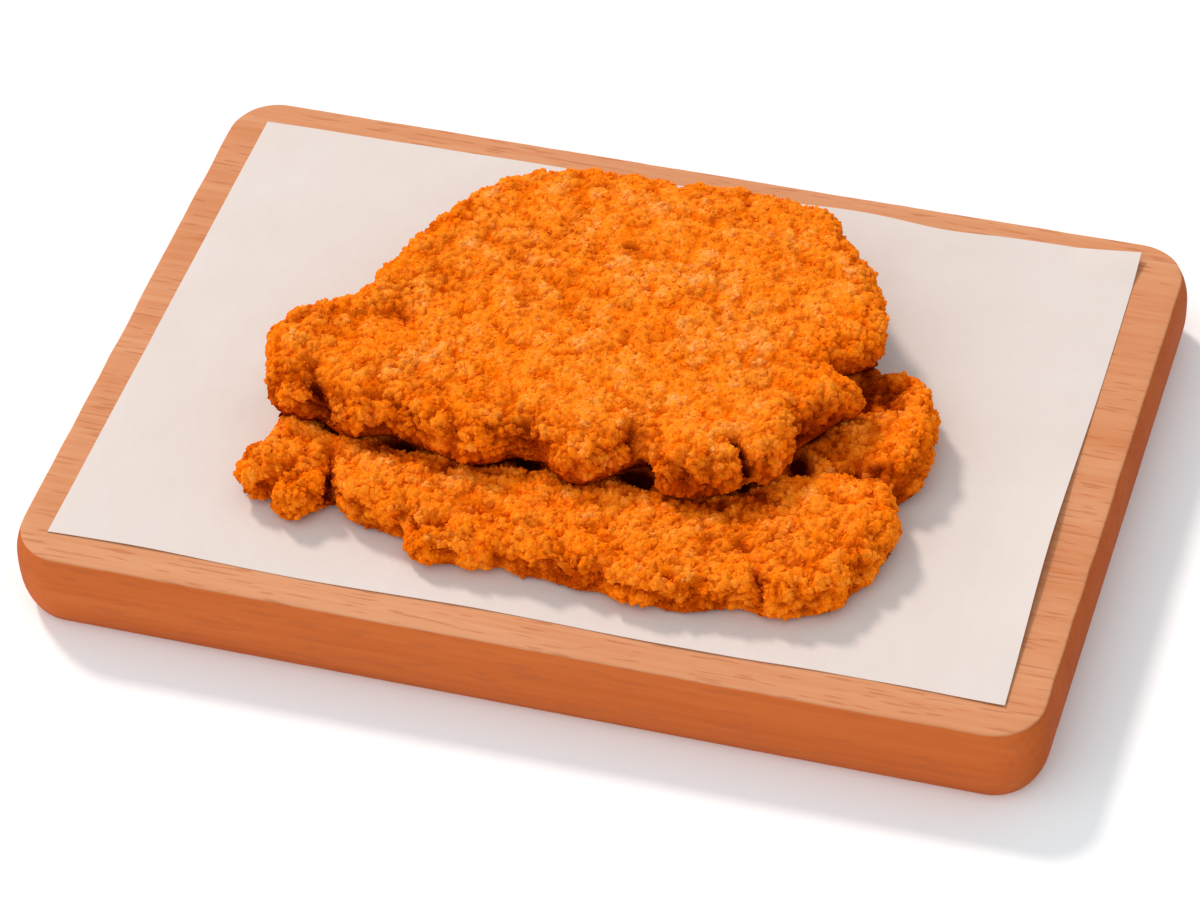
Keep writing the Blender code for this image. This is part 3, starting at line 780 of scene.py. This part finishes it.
def make_crust(style, seed):
    """The crust's skin, shaped in millimetres, and the crumbs stuck in it."""
    rng = np.random.default_rng(seed)
    mesh = even_skin(*pillow(style)[:2], CRUST_VOXEL)
    points = vertex_array(mesh)
    normals = vertex_array(mesh, "normal")
    shown = smoothstep(normals[:, 2], -0.9, -0.2)
    rim = 1.0 - smoothstep(style["depth"](points[:, 0], points[:, 1]), 1.0, 17.0)
    rough = np.clip(style["rough"] + patch_strength(points, style["rough_patches"]) + 0.5 * rim, 0.0, 1.6)

    crease = crease_depth(points[:, 0], points[:, 1], style["creases"]) * smoothstep(normals[:, 2], -0.6, 0.3)
    lumps = layered_noise(points, 11.0, seed, 2) * (0.7 + 0.7 * rim)
    knobs, _ = packed_balls(warped(points, 9.0, 2.0, seed + 15), 9.5, seed + 17, 0.6, 1.0)
    clumps, clump_number = packed_balls(warped(points, 5.0, 1.2, seed + 3), 4.7, seed + 1, 0.55, 1.0)
    crumbs, crumb_number = packed_balls(warped(points, 2.0, 0.6, seed + 5), 1.7, seed + 2, 0.5, 0.95)
    fine = smooth_noise(points, 1.2, seed + 9)
    relief = 0.6 * lumps + (style["knobs"] + 1.8 * rim) * (knobs - 0.62) + (clumps - 0.62) * (0.9 + 1.3 * rough)
    relief += (crumbs - 0.6) * (0.95 + 0.85 * rough) + 0.12 * fine
    moved = points + normals * ((relief - style["sink"]) * shown)[:, None]
    moved -= np.stack([0.55 * normals[:, 0], 0.55 * normals[:, 1], np.ones(len(points))], 1) * crease[:, None]
    moved[:, 2] = np.clip(moved[:, 2], style["floor"], style["ceiling"])
    set_vertices(mesh, moved * MM)

    pit = 0.55 - 0.9 * (clumps - 0.62) - 0.8 * (crumbs - 0.6)
    pit = np.clip(pit - (0.5 * rim + 0.4 * style["knobs"]) * (knobs - 0.62), 0.0, 1.0)
    broad = layered_noise(points, 19.0, seed + 5, 3)
    middling = layered_noise(points, 7.0, seed + 19, 2)
    # Brown holds real browning and painted shade: the patches brown real spots and paint shade under the upper rim,
    # in clefts and in pits.
    brown_and_shade_base = style["brown"] + patch_strength(points, style["brown_and_shade_patches"])
    brown_and_shade_base += 0.16 * broad + (0.16 + 0.2 * rough) * middling
    # Painted shade: low sides and undersides of the rims turn brown, most where they face front and right, away
    # from the key light.
    facing = smoothstep(0.3 * normals[:, 0] - normals[:, 1], -0.4, 0.6)
    shaded_low_side = (1.0 - smoothstep(normals[:, 2], -0.35, 0.7)) * (0.3 + 0.7 * facing)
    brown_and_shade_base += style["side_painted_shade"] * shaded_low_side
    # Browner in pits and creases: browning, and partly painted shade.
    brown = brown_and_shade_base + (0.5 + 0.8 * rough) * (pit - 0.5) + 0.04 * crease
    brown += 0.12 * (crumb_number - 0.5)
    # Paleness varies at random, clump tops are paler as a painted highlight, and brown and painted shade take
    # paleness away.
    pale = 0.34 + 0.4 * (crumb_number - 0.5) + 0.3 * (clump_number - 0.5) - 0.3 * (rough - 0.5)
    pale += 0.15 * broad + 0.5 * (clumps - 0.62) - 0.5 * np.clip(brown_and_shade_base - 0.2, 0.0, 1.0)
    # A painted pinkish highlight where the crust is palest.
    cream_highlight = 1.5 * (pale - 0.55) - 0.3 * middling
    # Painted shade: as the style sets it, and in deep creases.
    painted_shade = style["shade"](points, smooth_noise(points, 7.0, seed + 13))
    painted_shade = np.maximum(painted_shade, 0.9 * smoothstep(crease, 1.6, 5.0))
    # Painted shade and painted shadow in patches, mottled and strongest in pits.
    mottled = (0.85 + 0.9 * smooth_noise(points, 3.5, seed + 23)) * (0.45 + 1.1 * pit)
    painted_shade = np.maximum(painted_shade, np.minimum(mottled * patch_strength(points, style["painted_shade_patches"]), 0.66))
    core = bpy.data.objects.new(style["name"] + "_crust", mesh)
    bpy.context.scene.collection.objects.link(core)
    material = crumb_material(style["name"] + "_crumb", 0.6)
    mesh.materials.clear()
    mesh.materials.append(material)
    mesh.shade_smooth()
    # These crumb colours hold painted shade and painted highlight along with the crust's own colour.
    store_colours(mesh, "crumb", crumb_colours(pale, cream_highlight, brown, painted_shade))
    cover = style["cover"](points[:, 0], points[:, 1])
    skin = thinned(core, (normals[:, 2] < -0.6) | (cover > 7.0))
    store_bake_map(skin, lambda x, y: belly_height(style, x, y))

    open_here = (normals[:, 2] > -0.85) & (cover < 9.0)
    chosen = spread_out(moved, open_here, 1.15, rng)[:style["most_grains"]]
    count = len(chosen)
    sizes = np.clip(rng.lognormal(math.log(1.35), 0.33, count), 0.8, 2.8)
    # The grains take the skin's colours at their spot, painted shade and painted highlight included, with random
    # tone, more brown and shade in pits, and a few pale specks.
    grain_pale = pale[chosen] + 0.34 * (rng.uniform(size=count) - 0.4)
    grain_brown = brown_and_shade_base[chosen] + 0.16 * (rng.uniform(size=count) - 0.5)
    grain_brown += (0.2 + 0.7 * rough[chosen]) * (pit[chosen] - 0.45)
    grain_cream_highlight = 1.5 * (grain_pale - 0.55) - 0.3 * middling[chosen] + np.where(rng.uniform(size=count) > 0.99, 0.3, 0.0)
    grain_colours = crumb_colours(grain_pale, grain_cream_highlight, grain_brown, painted_shade[chosen])

    shape, shape_faces = icosahedron()
    bodies = shape[None] * (1.0 + rng.uniform(-0.34, 0.34, size=(count, len(shape), 1)))
    bodies = bodies * rng.uniform(0.62, 1.3, size=(count, 1, 3))
    bodies = np.einsum("nij,nkj->nki", random_turns(count, rng), bodies) * (sizes / 2)[:, None, None]
    sunk = rng.uniform(0.12, 0.45, count) * sizes
    centres = moved[chosen] - normals[chosen] * sunk[:, None]
    grain_points = (bodies + centres[:, None]).reshape(-1, 3) * MM
    grain_faces = (shape_faces[None] + (np.arange(count) * len(shape))[:, None, None]).reshape(-1, 3)
    grains = mesh_object(style["name"] + "_grains", grain_points, grain_faces, material)
    grains.data.shade_flat()
    store_colours(grains.data, "crumb", np.repeat(grain_colours, len(shape), axis=0))
    print(style["name"], "crust", len(mesh.polygons), "thinned to", len(skin.polygons), "grains", count)
    return core, grains


def lower_shade(points, noise):
    """Painted shade on the lower crust under the upper one: nearly black in front and in the gaps, little at the
    back.
    """
    x, y, z = points.T
    front = np.maximum(1.0 - smoothstep(y, -30.0, -15.0), smoothstep(x, 45.0, 60.0))
    under = smoothstep(UPPER_DEPTH(x, y) + 2.0 * noise, 0.0, 5.0) * (0.3 + 0.7 * front)
    return (z > 33.0) * np.maximum(under, 1.3 * patch_strength(points, GAPS))


LOWER_STYLE = {
    "name": "lower",
    "outline": LOWER_OUTLINE,
    "top": lower_top,
    "underside": lower_underside,
    "creases": LOWER_CREASES,
    "belly": 0.38,
    "shoulder": 7.5,
    "foot": 3.5,
    "knobs": 0.7,
    "sink": 0.35,
    "floor": LOWER_LOW.z / MM,
    "ceiling": 44.5,
    "brown": -0.02,
    "side_painted_shade": 0.4,
    # Brown patches: a few real brown spots, and painted shade under the upper rim, in clefts and on the right lobe.
    "brown_and_shade_patches": (
        (-54.0, -63.0, 20.0, 10.0, -0.14), (-90.0, -60.0, 6.0, 8.0, 0.25), (-80.0, -68.0, 5.0, 4.0, 0.2), (64.5, -73.0, 3.0, 5.0, 0.4),
        (-66.0, -60.0, 3.0, 9.0, 0.4), (58.0, -60.0, 6.0, 4.0, 0.3), (42.0, -48.0, 12.0, 4.5, 0.75),
        (56.0, -43.0, 7.0, 5.0, 0.7), (70.0, -18.0, 9.0, 8.0, 0.65), (78.0, 3.0, 7.0, 9.0, 0.85),
        (10.0, -49.0, 18.0, 3.0, 0.5), (-32.0, -51.0, 14.0, 3.0, 0.5), (-57.0, -49.0, 12.0, 5.0, 0.6),
        (86.0, -22.0, 9.0, 3.0, 0.35), (-31.0, -73.0, 7.0, 2.5, 0.3),
    ),
    # Painted shade under the upper rim and in clefts, and the upper crust's painted shadow on the right lobe.
    "painted_shade_patches": (
        (-64.5, -65.0, 1.6, 4.0, 0.6), (65.0, -74.5, 1.6, 3.5, 0.4), (43.0, -47.5, 11.0, 4.0, 0.6),
        (56.0, -42.0, 6.5, 4.5, 0.65), (68.0, -14.0, 8.0, 7.0, 0.55), (77.0, 8.0, 7.0, 8.5, 1.0),
        (-55.0, -48.5, 10.0, 3.5, 0.45), (-26.0, -50.5, 16.0, 2.0, 0.4), (8.0, -49.0, 16.0, 2.0, 0.3),
        (82.0, -22.5, 9.0, 1.8, 0.35),
    ),
    "rough": 0.55,
    "rough_patches": ((-80.0, -62.0, 14.0, 12.0, 0.3), (60.0, -64.0, 14.0, 10.0, 0.2)),
    "depth": LOWER_DEPTH,
    "cover": UPPER_DEPTH,
    "shade": lower_shade,
    "most_grains": 9900,
}
UPPER_STYLE = {
    "name": "upper",
    "outline": UPPER_OUTLINE,
    "top": upper_top,
    "underside": upper_underside,
    "creases": UPPER_CREASES,
    "belly": 0.36,
    "shoulder": 8.0,
    "foot": 3.0,
    "knobs": 0.2,
    "sink": 0.35,
    "floor": UPPER_LOW.z / MM,
    "ceiling": 55.5,
    "brown": 0.0,
    "side_painted_shade": 0.8,
    # Brown patches: real brown spots, and painted shade in pits, under the front rim and under the right-hand knob.
    "brown_and_shade_patches": (
        (-80.0, -25.0, 16.0, 16.0, 0.04), (-61.0, -6.0, 7.0, 6.0, 0.35), (-47.0, 12.0, 8.0, 6.0, 0.25),
        (-30.0, 36.0, 10.0, 5.0, 0.25), (-33.0, 22.0, 4.0, 4.0, 0.3), (-4.0, 36.0, 3.0, 3.0, 0.6),
        (-27.0, 4.0, 3.0, 3.0, 0.3), (7.0, -2.0, 3.0, 4.0, 0.3), (36.0, 50.0, 6.0, 4.0, 0.25),
        (15.0, 57.0, 7.0, 4.0, 0.2), (-42.0, -44.0, 26.0, 7.0, 0.12), (-12.0, -44.0, 8.0, 6.0, 0.25),
        (-88.0, -40.0, 7.0, 6.0, 0.4), (66.0, 5.0, 6.0, 4.0, 0.6), (70.0, -15.0, 5.0, 6.0, 0.4),
    ),
    # Painted shade in clefts, gaps and pits, and under the right-hand knob.
    "painted_shade_patches": (
        (70.0, -13.5, 4.5, 4.5, 0.4), (65.0, -20.5, 3.5, 4.0, 0.45), (37.0, -47.5, 10.0, 3.0, 0.35), (-78.5, -36.0, 2.4, 6.0, 0.4), (-73.0, -45.5, 3.5, 3.5, 0.6), (-50.0, -45.0, 8.0, 3.5, 0.35), (-12.0, -43.5, 6.5, 4.0, 0.35),
        (18.0, -36.0, 3.0, 4.0, 0.3), (56.0, -37.0, 4.0, 3.0, 0.3), (-60.0, -6.0, 1.6, 1.4, 0.5), (-33.0, 22.0, 1.5, 1.2, 0.5),
        (-4.0, 36.6, 1.6, 1.2, 0.6), (-47.0, 12.0, 1.6, 1.2, 0.3), (68.0, 4.5, 4.0, 2.0, 0.5),
    ),
    "rough": 0.25,
    "rough_patches": (
        (-62.0, -18.0, 34.0, 30.0, 0.28), (-30.0, 20.0, 26.0, 26.0, 0.2), (-30.0, -44.0, 36.0, 10.0, 0.3),
    ),
    "depth": UPPER_DEPTH,
    "cover": lambda x, y: np.zeros(len(x)),
    # Painted shade on the upper crust below about 42.5 mm, under its rim, except at the back.
    "shade": lambda p, n: 0.7 * smoothstep(42.5 - p[:, 2] + n, 0.5, 2.5) * (p[:, 1] < 50.0),
    "most_grains": 9900,
}


# ---------------------------------------------------------------- stage, light and camera

CAMERA_TARGET = (2.8 * MM, -22.0 * MM, 26.0 * MM)
CAMERA_DISTANCE = 1.4843
CAMERA_AZIMUTH = 18.78
CAMERA_ELEVATION = 43.81
CAMERA_ROLL = -3.195
CAMERA_LENS = 154.14

SUN_FROM = (-0.66, 0.58, 0.80)
SUN_STRENGTH = 1.98
SUN_ANGLE = 9.0
FILL_FROM = (-0.45, -0.75, 0.5)  # a broad soft light on the camera's left
FILL_STRENGTH = 1.15
FILL_ANGLE = 100.0
SKY_STRENGTH = 0.70


def make_floor():
    material, tree, shader = new_material("studio_floor", 0.9, 0.1)
    here = stretched(tree, (1.0, 1.0, 1.0))
    cloud = noise_texture(tree, here, 3.0, 2.0)
    tree.links.new(mix_colour(tree, cloud, (0.93, 0.93, 0.93), (0.95, 0.95, 0.95)), shader.inputs["Base Color"])
    half = 4.0
    floor = mesh_object(
        "studio_floor", [(-half, -half, 0), (half, -half, 0), (half, half, 0), (-half, half, 0)],
        [(0, 1, 2, 3)], material,
    )


def make_sun(name, source, strength, angle, colour):
    light = bpy.data.lights.new(name, "SUN")
    light.energy = strength
    light.angle = math.radians(angle)
    light.color = colour
    item = bpy.data.objects.new(name, light)
    item.rotation_mode = "QUATERNION"
    item.rotation_quaternion = Vector(source).to_track_quat("Z", "Y")
    bpy.context.scene.collection.objects.link(item)


def make_lights():
    world = bpy.data.worlds.new("studio")
    bpy.context.scene.world = world
    world.use_nodes = True
    background = world.node_tree.nodes["Background"]
    background.inputs["Color"].default_value = (0.93, 0.985, 1.02, 1.0)
    background.inputs["Strength"].default_value = SKY_STRENGTH
    make_sun("key", SUN_FROM, SUN_STRENGTH, SUN_ANGLE, (1.0, 0.88, 0.81))
    make_sun("fill", FILL_FROM, FILL_STRENGTH, FILL_ANGLE, (0.95, 0.99, 1.0))


def make_camera():
    azimuth, elevation = math.radians(CAMERA_AZIMUTH), math.radians(CAMERA_ELEVATION)
    back = Vector((
        math.sin(azimuth) * math.cos(elevation),
        -math.cos(azimuth) * math.cos(elevation),
        math.sin(elevation),
    ))
    turn = (-back).to_track_quat("-Z", "Y").to_matrix() @ Matrix.Rotation(math.radians(CAMERA_ROLL), 3, "Z")
    data = bpy.data.cameras.new("camera")
    data.lens = CAMERA_LENS
    data.sensor_width = 36.0
    data.clip_end = 20.0
    camera = bpy.data.objects.new("camera", data)
    camera.matrix_world = Matrix.Translation(Vector(CAMERA_TARGET) + back * CAMERA_DISTANCE) @ turn.to_4x4()
    bpy.context.scene.collection.objects.link(camera)
    bpy.context.scene.camera = camera


# ---------------------------------------------------------------- assembly


def place(piece, node, slot):
    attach(piece, "root")
    if node:
        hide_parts(node)


def main():
    bpy.context.scene.view_settings.view_transform = "Standard"
    make_camera()
    make_lights()
    make_floor()
    place(make_board(), "board", "beech")
    place(make_paper(), "paper", "greaseproof")
    for node, style, seed in (
        ("schnitzel_lower", LOWER_STYLE, 11), ("schnitzel_upper", UPPER_STYLE, 23),
    ):
        core, grains = make_crust(style, seed)
        place(core, node, "crumb_" + style["name"])
        place(grains, None, "crumb_" + style["name"])


main()
